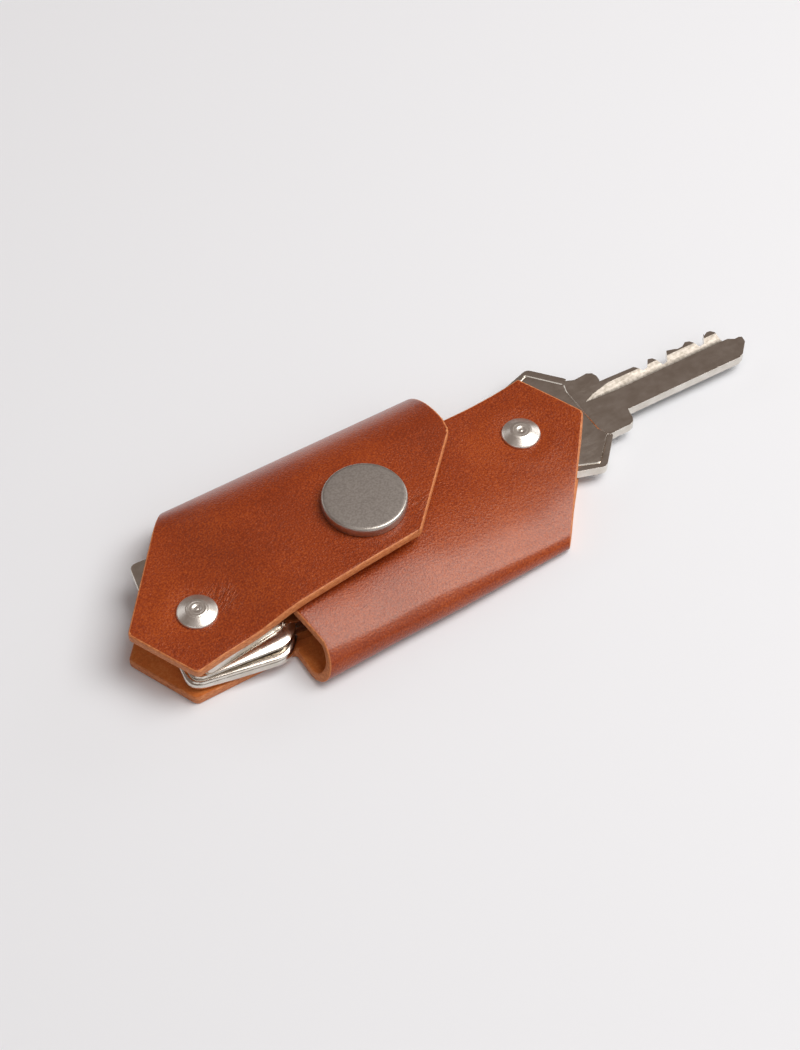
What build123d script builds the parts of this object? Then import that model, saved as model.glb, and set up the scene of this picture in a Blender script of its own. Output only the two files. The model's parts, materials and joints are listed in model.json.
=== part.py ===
from build123d import *
import os
from math import cos, sin, radians, pi

# A leather key organiser, millimetres, +Z up.
# Origin: on the underside of the leather, straight below the centre of the snap.
# X runs along the wallet, Y across it towards the back fold.
# One strip of hide makes the base, both folds and both flaps. The outline of each half is the
# other one turned half a turn about Z.

os.makedirs("parts", exist_ok=True)

# ---- hide ----
HIDE = 1.8                    # thickness of the hide
GAP = 0.05                    # face to face gap in the stacks on the posts
TIP_X, TIP_Y = 49.9, 0.4      # outermost corner of the pointed ends
NOSE_X, NOSE_Y = 43.5, 14.2   # second corner of the pointed ends
BASE_TIP = (50.2, -0.4)       # the base is cut slightly fuller at those corners
BASE_NOSE = (44.0, 14.1)
LOWER_NOSE = (44.3, 14.5)     # and so is the back edge of the lower flap
LOWER_CORNER = (-5.5, 11.4)
LOWER_SHOULDER = (-23.0, -6.8)
LOWER_SIDE_Y = -12.0          # its left edge leans in line with the fold's end from here on
INNER_Y = 14.4                # open side edge of the base
FOLD_END_X = 31.5             # where the slanted end edge reaches a fold
FOLD_END_Y = 22.0
CUT_X = 23.6                  # square end of each fold
FRONT_CUT_LEAN = 0.2          # the front fold's square end leans by this much per mm of height
FLAP_CORNER = (5.5, -10.7)    # the two front corners of the upper flap
FLAP_SHOULDER = (23.0, 6.8)

# Height of the grain side along X: level where a post or the snap clamps the hide, sloped between.
UPPER_X = [-52.0, -41.2, -32.8, -23.0, -9.0, 9.0, 25.0]
UPPER_Z = [10.6, 10.2, 10.2, 13.3, 13.7, 13.7, 13.1]
LOWER_X = [-25.0, -6.0, 6.0, 32.8, 41.2, 52.0]
LOWER_Z = [11.5, 9.8, 9.8, 6.95, 6.95, 8.7]

# ---- folds ----
FRONT_AXIS_Y = -19.1          # centre line of the front fold
BACK_AXIS_Y = 18.9            # centre line of the back fold's tight lower bend, at x = 0
BACK_AXIS_SLOPE = -0.02       # it runs slightly askew
BACK_LOW_R = 4.4              # outer radius of the back fold's lower bend
BACK_TURN = radians(36)       # where that bend opens into the wide upper one

# ---- bend line of the snap flap ----
BEND_AZ = radians(24.4)       # its direction in plan
BEND_OFF = 8.8                # its distance behind the snap's centre
BEND_GAP = 0.12               # half the gap left along it
BEND_Z = 13.7                 # height of the bend axis: the grain side at the snap
FOLD_SPLIT_Z = 5.0            # the flap's share of the back fold starts above this

# ---- posts ----
POST_X, POST_Y = 37.0, 2.75
POST_R = 2.5                  # barrel
POST_HOLE_R = 2.55            # running hole in leather, washers and keys
POST_BORE_R = 1.5             # threaded bore of the barrel, at its pitch diameter
HEAD_R = 3.8                  # turned head on the grain side
HEAD_RIM = 0.55
HEAD_RISE = 1.5
DIMPLE_R = 0.9                # turned dimple in the middle of the head
DIMPLE_D = 0.25
HEAD_FLOOR = -0.6             # the bore stops this far below the head
THREAD_PLAY = 0.03
SCREW_HEAD_R = 4.0            # flat head let into the base
SCREW_HEAD_T = 0.8
SLOT_W = 0.9
SLOT_D = 0.4

# ---- snap ----
CAP_R = 8.0
CAP_T = 2.2
CAP_FILLET = 0.45
RIVET_R = 2.0                 # the cap's hollow rivet
SOCKET_R = 5.8
SOCKET_MOUTH_R = 3.05
STUD_R = 2.5
STUD_FLANGE_R = 4.9
EYELET_R = 1.4
EYELET_FLANGE_R = 4.6
SPRING_WIRE = 0.4

# ---- keys: measured from the post hole, blade along +u ----
KEY_T = 2.0
THICK_KEY_T = 2.4
SMALL_KEY_T = 1.7
BLADE_HALF = 4.45
KEY_SHOULDER = 22.2
KEY_TIP = 53.2
LUG_HALF = 7.6                # half width over the lugs before the blade
FIRST_CUT = 9.6               # first cut behind the shoulder, then one each pitch
CUT_PITCH = 4.5
GROOVE_V = 2.1                # milled grooves: one in each face, either side of the middle
GROOVE_W = 2.6
GROOVE_D = 0.6
GROOVE_LEAD = 4.7             # the grooves start this far before the shoulder
SMALL_SHOULDER = 15.4
SMALL_TIP = 29.5
SMALL_BLADE_HALF = 4.2
SMALL_FIRST_CUT = 5.0
KEY_OFFSET = 1.1              # a key's middle line passes this far from its post
LEFT_KEY_OFFSET = 0.0
SMALL_KEY_OFFSET = 3.0
RIGHT_KEY_TURN = -2.0         # plan angles of the keys, degrees
LOWER_KEY_TURN = -8.0
MIDDLE_KEY_TURN = -3.0
UPPER_KEY_TURN = 4.0
WASHER_R = 4.5
WASHER_T = 0.45

LEFT_POST = (-POST_X, -POST_Y)
RIGHT_POST = (POST_X, POST_Y)
BEND_N = (sin(BEND_AZ), -cos(BEND_AZ))
END_SLOPE = (FOLD_END_Y + TIP_Y) / (TIP_X - FOLD_END_X)
SHELL_END = 38.5              # the folds' shells start past their slanted ends and are trimmed back
CLEAR = 30.0                  # a coordinate clear of the whole piece


def height(x, xs, zs):
    """Height of the grain side at x, on straight runs between the given stations."""
    for x0, x1, z0, z1 in zip(xs, xs[1:], zs, zs[1:]):
        if x <= x1:
            return z0 + (z1 - z0) * (x - x0) / (x1 - x0)
    return zs[-1]


def turned(points):
    """The same outline turned half a turn about Z."""
    return [(-x, -y) for x, y in points]


def prism(points, z0, z1):
    """Vertical prism on a plan outline."""
    outline = Wire.make_polygon([(x, y, z0) for x, y in points], close=True)
    return Solid.extrude(Face(outline), (0, 0, z1 - z0))


def strip(xs, zs, y0, y1):
    """The hide as a bent strip: its profile along X, drawn out from y0 to y1."""
    top = [(x, y0, z) for x, z in zip(xs, zs)]
    low = [(x, y0, z - HIDE) for x, z in zip(xs, zs)]
    return Solid.extrude(Face(Wire.make_polygon(top + low[::-1], close=True)), (0, y1 - y0, 0))


def ring(centre, r_out, r_in, z0, z1):
    """Upright tube."""
    x, y = centre
    body = Pos(x, y, (z0 + z1) / 2) * Cylinder(r_out, z1 - z0)
    return body - Pos(x, y, (z0 + z1) / 2) * Cylinder(r_in, z1 - z0 + 2)


def disc(centre, r, z0, z1):
    """Upright cylinder."""
    x, y = centre
    return Pos(x, y, (z0 + z1) / 2) * Cylinder(r, z1 - z0)


# ---------------------------------------------------------------- hide
def fold_section(x, axis_y, side, top, low_r):
    """C-shaped section of a fold at x: a lower bend of radius low_r, then one that reaches the flap."""
    turn = BACK_TURN
    up_r = (top - low_r * (1 + sin(turn))) / (1 - sin(turn))
    up_y = axis_y + side * (low_r - up_r) * cos(turn)
    up_z = low_r + (low_r - up_r) * sin(turn)

    def at(cy, cz, r, a):
        return (x, cy + side * r * cos(a), cz + r * sin(a))

    def pair(inset):
        low_turns = (-pi / 2, (turn - pi / 2) / 2, turn)
        up_turns = (turn, (turn + pi / 2) / 2, pi / 2)
        low = ThreePointArc(*[at(axis_y, low_r, low_r - inset, a) for a in low_turns])
        up = ThreePointArc(*[at(up_y, up_z, up_r - inset, a) for a in up_turns])
        return low, up

    out_low, out_up = pair(0)
    in_low, in_up = pair(HIDE)
    mouth = Line(out_up @ 1, in_up @ 1)
    root = Line(out_low @ 0, in_low @ 0)
    return Face(Wire([out_low, out_up, mouth, in_up, in_low, root])), up_y


def back_axis(x):
    return BACK_AXIS_Y + BACK_AXIS_SLOPE * x


def back_join(x):
    """Where the back fold's upper bend meets the flap."""
    return fold_section(x, back_axis(x), 1, height(x, UPPER_X, UPPER_Z), BACK_LOW_R)[1]


def fold_shell(stations, section):
    """Ruled shell through the sections at the given stations."""
    spans = [Solid.make_loft([section(a)[0].outer_wire(), section(b)[0].outer_wire()], ruled=True)
             for a, b in zip(stations, stations[1:])]
    return spans[0].fuse(*spans[1:]) if len(spans) > 1 else spans[0]


def back_section(x):
    return fold_section(x, back_axis(x), 1, height(x, UPPER_X, UPPER_Z), BACK_LOW_R)


def front_section(x):
    top = height(x, LOWER_X, LOWER_Z)
    return fold_section(x, FRONT_AXIS_Y, -1, top, top / 2)


def back_fold_whole():
    stations = [-SHELL_END] + [x for x in UPPER_X if -SHELL_END < x < CUT_X] + [CUT_X + 1]
    end_x = TIP_X - (CLEAR + TIP_Y) / END_SLOPE
    keep = prism([(-TIP_X, -TIP_Y), (CUT_X, -TIP_Y), (CUT_X, CLEAR), (-end_x, CLEAR)], -1, CLEAR)
    return fold_shell(stations, back_section) & keep


def front_fold():
    end_x = TIP_X - (CLEAR + TIP_Y) / END_SLOPE
    keep = prism([(TIP_X, TIP_Y), (-CUT_X - 5, TIP_Y), (-CUT_X - 5, -CLEAR), (end_x, -CLEAR)], -1, CLEAR)
    lean = [(-CUT_X, -CLEAR, -1), (-CUT_X, -CLEAR, 0), (-CUT_X + CLEAR * FRONT_CUT_LEAN, -CLEAR, CLEAR),
            (TIP_X, -CLEAR, CLEAR), (TIP_X, -CLEAR, -1)]
    leaning = Solid.extrude(Face(Wire.make_polygon(lean, close=True)), (0, 2 * CLEAR, 0))
    return (fold_shell(LOWER_X[:4] + [SHELL_END], front_section) & keep) & leaning


def base_panel():
    """Flat middle of the strip, between the two fold lines."""
    point = [BASE_TIP, BASE_NOSE, (CUT_X, INNER_Y)]
    left_end = -(TIP_X - (back_axis(-FOLD_END_X) + TIP_Y) / END_SLOPE)
    right_end = TIP_X - (-FRONT_AXIS_Y + TIP_Y) / END_SLOPE
    outline = point + [(CUT_X, back_axis(CUT_X)), (left_end, back_axis(left_end))]
    outline += turned(point) + [(-CUT_X, FRONT_AXIS_Y), (right_end, FRONT_AXIS_Y)]
    panel = prism(outline, 0, HIDE)
    for post in (LEFT_POST, RIGHT_POST):
        panel -= disc(post, POST_HOLE_R, -1, HIDE + 1)
        panel -= disc(post, SCREW_HEAD_R + 0.05, -1, SCREW_HEAD_T)
    return panel


def upper_plan():
    """Plan of the upper flap, up to the line where the back fold begins."""
    join = [(x, back_join(x)) for x in UPPER_X[5:1:-1]]
    left_x = -SHELL_END
    for _ in range(6):
        left_x = -(TIP_X - (back_join(left_x) + TIP_Y) / END_SLOPE)
    end = [(FLAP_SHOULDER[0] + 0.6, back_join(CUT_X))]
    nose = [(-TIP_X, -TIP_Y), (-NOSE_X, -NOSE_Y)]
    return [FLAP_CORNER, FLAP_SHOULDER] + end + join + [(left_x, back_join(left_x))] + nose


def bend_side(sign, z0):
    """Everything on one side of the bend line, above z0."""
    nx, ny = BEND_N
    dx, dy = cos(BEND_AZ), sin(BEND_AZ)
    cx, cy = -nx * BEND_OFF + sign * nx * BEND_GAP, -ny * BEND_OFF + sign * ny * BEND_GAP
    reach = 3 * CLEAR
    a = (cx - reach * dx, cy - reach * dy)
    b = (cx + reach * dx, cy + reach * dy)
    c = (b[0] + sign * reach * nx, b[1] + sign * reach * ny)
    d = (a[0] + sign * reach * nx, a[1] + sign * reach * ny)
    return prism([a, b, c, d], z0, CLEAR)


def upper_flap_whole():
    return strip(UPPER_X, UPPER_Z, -CLEAR, CLEAR) & prism(upper_plan(), 0, CLEAR)


def upper_flap():
    flap = upper_flap_whole() & bend_side(-1, -1)
    return flap - disc(LEFT_POST, POST_HOLE_R, 0, 20)


def snap_flap():
    """The part of the upper flap that lifts, with its share of the back fold."""
    flap = upper_flap_whole() & bend_side(1, -1)
    share = back_fold_whole() & bend_side(1, FOLD_SPLIT_Z)
    return (flap + share) - disc((0, 0), RIVET_R + 0.05, 0, 20)


def back_fold():
    """The rest of the back fold: all but the share that lifts, with a gap between them."""
    gap = 2 * BEND_GAP
    lifting = bend_side(1, FOLD_SPLIT_Z - gap).moved(Pos(-gap * BEND_N[0], -gap * BEND_N[1], 0))
    return back_fold_whole() - lifting


def lower_flap():
    """The flap that lies under the snap flap, joined to the front fold."""
    right_end = TIP_X - (-FRONT_AXIS_Y + TIP_Y) / END_SLOPE
    lean_x = -CUT_X + FRONT_CUT_LEAN * (LOWER_Z[0] - 1)
    plan = [(TIP_X, TIP_Y), LOWER_NOSE, LOWER_CORNER, LOWER_SHOULDER, (lean_x, LOWER_SIDE_Y),
            (lean_x, FRONT_AXIS_Y), (right_end, FRONT_AXIS_Y)]
    flap = strip(LOWER_X, LOWER_Z, -CLEAR, CLEAR) & prism(plan, 0, CLEAR)
    return flap - disc(RIGHT_POST, POST_HOLE_R, 0, 20) - disc((0, 0), EYELET_R + 0.05, 0, 20)


# ---------------------------------------------------------------- posts
def post_barrel(centre, seat):
    """Turned head on the grain side with a hollow barrel below it, bored up to under the head."""
    bottom = SCREW_HEAD_T + GAP - seat
    outline = [
        Line((0, HEAD_FLOOR), (POST_BORE_R, HEAD_FLOOR)),
        Line((POST_BORE_R, HEAD_FLOOR), (POST_BORE_R, bottom)),
        Line((POST_BORE_R, bottom), (POST_R, bottom)),
        Line((POST_R, bottom), (POST_R, 0)),
        Line((POST_R, 0), (HEAD_R, 0)),
        Line((HEAD_R, 0), (HEAD_R, HEAD_RIM)),
        ThreePointArc((HEAD_R, HEAD_RIM), (HEAD_R * 0.62, HEAD_RISE * 0.83), (DIMPLE_R, HEAD_RISE)),
        Line((DIMPLE_R, HEAD_RISE), (DIMPLE_R * 0.6, HEAD_RISE - DIMPLE_D)),
        Line((DIMPLE_R * 0.6, HEAD_RISE - DIMPLE_D), (0, HEAD_RISE - DIMPLE_D)),
        Line((0, HEAD_RISE - DIMPLE_D), (0, HEAD_FLOOR))]
    turned_piece = revolve(Plane.XZ * make_face(outline), axis=Axis.Z)
    return Pos(centre[0], centre[1], seat) * turned_piece


def post_screw(centre, seat):
    """Flat-headed screw from below, its head let into the base."""
    x, y = centre
    head = disc(centre, SCREW_HEAD_R, 0, SCREW_HEAD_T)
    head -= Pos(x, y, 0) * Box(2 * SCREW_HEAD_R + 1, SLOT_W, 2 * SLOT_D)
    shank = disc(centre, POST_BORE_R - THREAD_PLAY, SCREW_HEAD_T, seat + HEAD_FLOOR - 0.4)
    return head + shank


# ---------------------------------------------------------------- snap
SNAP_TOP = height(0, UPPER_X, UPPER_Z)            # grain side of the upper flap
SNAP_UNDER = SNAP_TOP - HIDE
STUD_SEAT = height(0, LOWER_X, LOWER_Z)           # grain side of the lower flap


def snap_cap():
    """Flat cap with a hollow rivet through the flap."""
    cap = disc((0, 0), CAP_R, SNAP_TOP, SNAP_TOP + CAP_T)
    cap = fillet(cap.edges().filter_by(GeomType.CIRCLE).group_by(Axis.Z)[-1], CAP_FILLET)
    rivet = ring((0, 0), RIVET_R, RIVET_R - 0.5, SNAP_UNDER - 0.5, SNAP_TOP + 0.5)
    return cap + rivet


def snap_socket():
    """Pressed cup under the flap that grips the stud."""
    z = SNAP_UNDER
    flange = ring((0, 0), SOCKET_R, RIVET_R + 0.02, z - 0.5, z)
    wall = ring((0, 0), SOCKET_R, SOCKET_R - 0.5, z - 1.6, z - 0.49)
    lip = ring((0, 0), SOCKET_R - 0.49, SOCKET_MOUTH_R, z - 1.6, z - 1.25)
    return flange + wall + lip


def socket_spring():
    """Open ring of round wire held inside the socket."""
    z = SNAP_UNDER - 0.5 - 0.36
    path = CenterArc((0, 0, z), SOCKET_MOUTH_R + SPRING_WIRE, 20, 320)
    start = path @ 0
    profile = Plane(origin=start, z_dir=path % 0) * Circle(SPRING_WIRE * 0.8)
    return sweep(profile, path=path)


def snap_stud():
    """Stud riveted on the lower flap."""
    z = STUD_SEAT
    flange = ring((0, 0), STUD_FLANGE_R, EYELET_R + 0.02, z, z + 0.35)
    button = ring((0, 0), STUD_R, EYELET_R + 0.02, z + 0.34, z + 1.55)
    return flange + button


def snap_eyelet():
    """Eyelet from below that carries the stud."""
    z = STUD_SEAT
    flange = disc((0, 0), EYELET_FLANGE_R, z - HIDE - 0.4, z - HIDE)
    tube = ring((0, 0), EYELET_R, EYELET_R - 0.4, z - HIDE - 0.01, z + 1.45)
    return flange + tube


# ---------------------------------------------------------------- keys
def blade_outline(shoulder, tip, half, first_cut, cuts):
    """Blade from the shoulder to the tip: straight back edge, bitted edge along +v."""
    last_peak = tip - 5.4
    top = [(shoulder, half)]
    for i, depth in enumerate(cuts):
        u = shoulder + first_cut + i * CUT_PITCH
        if u + 1.6 < last_peak:
            top += [(u - 2.0, half - 0.3), (u - 0.6, half - depth)]
            top += [(u + 0.6, half - depth), (u + 1.6, half - 0.1)]
    top += [(last_peak, half), (tip - 4.0, half - 0.8), (tip - 3.7, 1.3), (tip - 1.6, 0.1), (tip, 0)]
    return top + [(tip - 0.2, -1.5), (tip - 2.5, 0.5 - half), (tip - 3.6, -half), (shoulder, -half)]


def key_solid(post, turn, z0, thick, bow, corner_r, offset, blade, shoulder, half, tip):
    """A cut key lying flat: bow with its hole on the post, lugs, blade and milled grooves.

    offset shifts the whole key sideways from its hole; only the full-size keys have lugs.
    """
    plate = extrude(make_face(Polyline(*bow, close=True)), thick)
    plate = fillet(plate.edges().filter_by(Axis.Z), corner_r)
    if shoulder == KEY_SHOULDER:
        lugs = [(LUG_START, LUG_HALF), (shoulder - 1, LUG_HALF), (shoulder, LUG_HALF - 1.2)]
        outline = lugs + [(u, -v) for u, v in lugs[::-1]]
        plate += extrude(make_face(Polyline(*outline, close=True)), thick)
    plate += extrude(make_face(Polyline(*blade, close=True)), thick)
    plate += Pos(shoulder - 3, 0, thick / 2) * Box(8, 2 * half, thick)
    start = shoulder - GROOVE_LEAD
    middle, length = (start + tip + 1) / 2, tip + 1 - start
    for side, z in ((1, thick), (-1, 0)):
        plate -= Pos(middle, side * GROOVE_V, z) * Box(length, GROOVE_W, 2 * GROOVE_D)
    plate -= Pos(0, -offset, thick / 2) * Cylinder(POST_HOLE_R, thick + 2)
    return Pos(post[0], post[1], z0) * Rot(0, 0, turn) * Pos(0, offset, 0) * plate


def full_size_key(post, turn, z0, thick, bow, corner_r, offset, cuts):
    blade = blade_outline(KEY_SHOULDER, KEY_TIP, BLADE_HALF, FIRST_CUT, cuts)
    sizes = (KEY_SHOULDER, BLADE_HALF, KEY_TIP)
    return key_solid(post, turn, z0, thick, bow, corner_r, offset, blade, *sizes)


LUG_START = 12.0
HEX_BOW = [(-6.0, -8.9), (-6.0, 8.9), (11.3, 14.4), (17.2, 8.0), (17.2, -8.0), (11.3, -14.4)]
WIDE_BOW = [(-6.2, -10.6), (-6.2, 10.6), (12.8, 11.9), (16.5, 7.6), (16.5, -7.6), (12.8, -11.9)]
SMALL_BOW = [(-4.6, -13.2), (-4.6, 13.6), (12.6, 12.2), (15.4, 6.6), (15.4, -7.0), (12.6, -12.2)]

LOWER_KEY_Z = HIDE + GAP
MIDDLE_KEY_Z = LOWER_KEY_Z + THICK_KEY_T + GAP
UPPER_KEY_Z = MIDDLE_KEY_Z + KEY_T + GAP
RIGHT_KEY_Z = HIDE + WASHER_T + 2 * GAP


def left_key_lower():
    place = (LEFT_POST, LOWER_KEY_TURN, LOWER_KEY_Z, THICK_KEY_T)
    return full_size_key(*place, WIDE_BOW, 3.2, LEFT_KEY_OFFSET, (1.6, 2.4, 1.2))


def left_key_middle():
    place = (LEFT_POST, MIDDLE_KEY_TURN, MIDDLE_KEY_Z, KEY_T)
    return full_size_key(*place, WIDE_BOW, 2.4, LEFT_KEY_OFFSET, (2.2, 1.2, 2.6))


def left_key_upper():
    place = (LEFT_POST, UPPER_KEY_TURN, UPPER_KEY_Z, SMALL_KEY_T)
    blade = blade_outline(SMALL_SHOULDER, SMALL_TIP, SMALL_BLADE_HALF, SMALL_FIRST_CUT, (1.8,))
    sizes = (SMALL_SHOULDER, SMALL_BLADE_HALF, SMALL_TIP)
    return key_solid(*place, SMALL_BOW, 2.4, SMALL_KEY_OFFSET, blade, *sizes)


def right_key():
    place = (RIGHT_POST, RIGHT_KEY_TURN, RIGHT_KEY_Z, KEY_T)
    return full_size_key(*place, HEX_BOW, 0.8, KEY_OFFSET, (1.7, 2.3, 0.75, 2.15))


def washer(z):
    return ring(RIGHT_POST, WASHER_R, POST_HOLE_R, z, z + WASHER_T)


RIGHT_SEAT = height(POST_X, LOWER_X, LOWER_Z)
LEFT_SEAT = height(-POST_X, UPPER_X, UPPER_Z)

parts = {
    "base_panel": base_panel(),
    "front_fold": front_fold(),
    "back_fold": back_fold(),
    "lower_flap": lower_flap(),
    "upper_flap": upper_flap(),
    "snap_flap": snap_flap(),
    "left_post_barrel": post_barrel(LEFT_POST, LEFT_SEAT),
    "left_post_screw": post_screw(LEFT_POST, LEFT_SEAT),
    "right_post_barrel": post_barrel(RIGHT_POST, RIGHT_SEAT),
    "right_post_screw": post_screw(RIGHT_POST, RIGHT_SEAT),
    "snap_cap": snap_cap(),
    "snap_socket": snap_socket(),
    "socket_spring": socket_spring(),
    "snap_stud": snap_stud(),
    "snap_eyelet": snap_eyelet(),
    "left_key_lower": left_key_lower(),
    "left_key_middle": left_key_middle(),
    "left_key_upper": left_key_upper(),
    "right_key": right_key(),
    "right_washer_lower": washer(HIDE + GAP),
    "right_washer_upper": washer(RIGHT_KEY_Z + KEY_T + GAP),
}

for name, shape in parts.items():
    export_step(shape, f"parts/{name}.step")
    box = shape.bounding_box()
    print(name, round(shape.volume, 1), [round(v, 2) for v in (*box.min, *box.max)])
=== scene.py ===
import bpy
import json
from math import cos, exp, hypot, pi, radians, sin, tan
from mathutils import Matrix, Vector


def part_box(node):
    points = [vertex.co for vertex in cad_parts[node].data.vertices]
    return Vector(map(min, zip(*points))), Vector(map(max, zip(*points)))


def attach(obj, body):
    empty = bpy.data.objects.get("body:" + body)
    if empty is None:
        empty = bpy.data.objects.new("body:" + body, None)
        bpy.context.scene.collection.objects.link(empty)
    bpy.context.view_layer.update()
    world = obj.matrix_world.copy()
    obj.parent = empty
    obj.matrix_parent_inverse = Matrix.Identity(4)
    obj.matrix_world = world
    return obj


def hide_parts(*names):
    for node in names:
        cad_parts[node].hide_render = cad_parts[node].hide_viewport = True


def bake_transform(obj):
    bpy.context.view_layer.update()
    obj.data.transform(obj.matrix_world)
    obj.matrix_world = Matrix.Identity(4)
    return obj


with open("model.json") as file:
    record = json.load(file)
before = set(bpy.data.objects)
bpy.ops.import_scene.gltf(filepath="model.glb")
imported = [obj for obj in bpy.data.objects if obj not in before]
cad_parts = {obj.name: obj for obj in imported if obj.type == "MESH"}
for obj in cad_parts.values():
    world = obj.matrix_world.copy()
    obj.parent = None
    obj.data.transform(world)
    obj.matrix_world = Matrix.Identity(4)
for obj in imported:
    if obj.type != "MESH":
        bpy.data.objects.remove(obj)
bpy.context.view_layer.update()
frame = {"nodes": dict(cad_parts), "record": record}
MM = 0.001


# ------------------------------------------------------------------ places read from the frame
def centre(node):
    """Middle of a CAD node's box."""
    low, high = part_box(node)
    return (low + high) / 2


def top_of(node, x, y):
    """Height of a CAD node's upper side at (x, y)."""
    hit, where, _, _ = frame["nodes"][node].ray_cast(Vector((x, y, 0.05)), Vector((0, 0, -1)))
    return where.z if hit else None


BASE_LOW, BASE_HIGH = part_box("base_panel")
HIDE = BASE_HIGH.z - BASE_LOW.z
LEFT_POST = centre("left_post_barrel")
RIGHT_POST = centre("right_post_barrel")
SNAP = centre("snap_cap")
FRONT_AXIS_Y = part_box("front_fold")[1].y          # centre line of the front fold
CUT_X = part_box("back_fold")[1].x                  # square end of the back fold
TIP_X = 49.9 * MM                                 # outermost corners of the pointed ends
BACK_LOW_R = 4.4 * MM                             # lower bend of the back fold, then a wide upper one
BACK_TURN = radians(36)
BACK_SLOPE = -0.02                                # the back fold runs slightly askew
BACK_START_X = -33.7 * MM                         # left end of the back fold where it leaves the base
BACK_AXIS_Y = BASE_HIGH.y - BACK_SLOPE * BACK_START_X
FRONT_LEAN = 0.34                                 # the front fold's open end leans with height
TIP_Y = 0.4 * MM                                  # how far off the middle line the outermost corners are
NOSE = Vector((43.5, 14.2)) * MM                  # second corner of the pointed ends
BASE_TIP = Vector((50.2, -0.4)) * MM              # the base is cut slightly fuller at those corners
BASE_NOSE = Vector((44.0, 13.7)) * MM
LOWER_NOSE = Vector((44.3, 14.5)) * MM            # and so is the back edge of the lower flap
LOWER_CORNER = Vector((-5.5, 11.4)) * MM          # left end of that edge, under the upper flap
INNER_Y = 14.0 * MM                               # open side edge of the base
END_SLOPE = 22.4 / 18.4                           # slant of the pointed ends
FLAP_CORNER = Vector((5.5, -10.7)) * MM           # front corner of the upper flap, beside the snap
FLAP_SHOULDER = Vector((23.0, 6.8)) * MM          # where its slant meets the square end

lift = next(j for j in frame["record"]["behaviour"]["joints"] if j["name"] == "snap_flap_lift")
BEND_POINT = Vector(lift["pos_m"])                # the line about which the snap end of the flap lifts
BEND_N = Vector(lift["axis"]).cross(Vector((0, 0, 1)))
BEND_N.normalize()
if BEND_N.dot(SNAP - BEND_POINT) < 0:
    BEND_N = -BEND_N


def clamp01(t):
    return max(0.0, min(1.0, t))


def ease(t):
    """0 to 1 with a soft start and a soft end."""
    t = clamp01(t)
    return t * t * (3 - 2 * t)


def lerp(a, b, t):
    return a + (b - a) * t


def along(knots, k):
    """Value at k on straight runs through (k, value) knots."""
    for (k0, v0), (k1, v1) in zip(knots, knots[1:]):
        if k <= k1:
            return lerp(v0, v1, (k - k0) / (k1 - k0))
    return knots[-1][1]


def soft(knots, x):
    """Height at x with the kinks between the knots rounded over a few millimetres."""
    reach_mm = (-3, -2, -1, 0, 1, 2, 3)
    return sum(along(knots, max(knots[0][0], x + step * MM)) for step in reach_mm) / len(reach_mm)


def upper_height(x):
    """Grain side of the upper flap in the CAD, on lines clear of the posts and the snap."""
    for node, y in (("upper_flap", -1.0), ("snap_flap", 5.9), ("upper_flap", 9.0)):
        z = top_of(node, x, y * MM)
        if z is not None:
            return z
    return None


def lower_height(x):
    """Grain side of the lower flap in the CAD."""
    return top_of("lower_flap", x, -13 * MM) or top_of("lower_flap", x, 0.3 * MM)


def samples(low, high, measure):
    """Knots (x, height) measured at even steps from low to high, where there is hide."""
    n = 60
    found = [(x, measure(x)) for x in (lerp(low, high, i / n) for i in range(n + 1))]
    return [(x, z) for x, z in found if z is not None]


UPPER = samples(-49.5 * MM, 22.9 * MM, upper_height)
LOWER = samples(-22.8 * MM, 49.5 * MM, lower_height)


def upper_z(x):
    return soft(UPPER, x)


def lower_z(x):
    return soft(LOWER, x)


# ------------------------------------------------------------------ hide: outline and sections
def left_end(y):
    """Left outline of the base and the upper flap."""
    if y >= -TIP_Y:
        return -TIP_X + (y + TIP_Y) / END_SLOPE
    return -TIP_X + (-TIP_Y - y) * (TIP_X - NOSE.x) / (NOSE.y - TIP_Y)


def right_end(y):
    """Right outline: the left one turned half round."""
    return -left_end(-y)


def back_axis(x):
    """y of the axis of the back fold's lower bend."""
    return BACK_AXIS_Y + BACK_SLOPE * x


FRONT_TILT = radians(20)       # slope of the lower flap where the front fold takes over
FRONT_START = -4 * MM          # the lower flap slopes down more and more from here to the fold
FRONT_DROP = tan(FRONT_TILT) * (FRONT_START - FRONT_AXIS_Y) / 2
FRONT_BULGE = 0.9 * MM


def front_top(x):
    """Height at which the front fold takes over from the lower flap."""
    return lower_z(x) - FRONT_DROP


def section(x, angle, side):
    """(y, z) of the grain side of a fold at x: side 1 is the back fold, -1 the front one."""
    if side < 0:
        r = front_top(x) / (1 + cos(FRONT_TILT))
        share = (angle + pi / 2) / (pi - FRONT_TILT)
        out = (r + FRONT_BULGE) * (cos(angle) - sin(FRONT_TILT) * share)
        return FRONT_AXIS_Y - out, r + r * sin(angle)
    axis, low, top = back_axis(x), BACK_LOW_R, upper_z(x)
    if angle <= BACK_TURN:
        return axis + side * low * cos(angle), low + low * sin(angle)
    high = (top - low * (1 + sin(BACK_TURN))) / (1 - sin(BACK_TURN))
    y = axis + side * (low - high) * cos(BACK_TURN)
    z = low + (low - high) * sin(BACK_TURN)
    return y + side * high * cos(angle), z + high * sin(angle)


def join_y(x):
    """y at which the upper flap leaves the back fold."""
    return section(x, pi / 2, 1)[0]


def end_on_fold(angle, side):
    """x where the slanted end edge crosses a fold at this angle."""
    x = -33 * MM if side > 0 else 33 * MM          # a first guess, then closed in on
    for _ in range(8):
        y = section(x, angle, side)[0]
        x = left_end(y) if side > 0 else right_end(y)
    return x


# columns: from the left tip to the fold ends, between them, and on to the right tip
COL_A, COL_B, COL_N = 26, 74, 100


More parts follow.
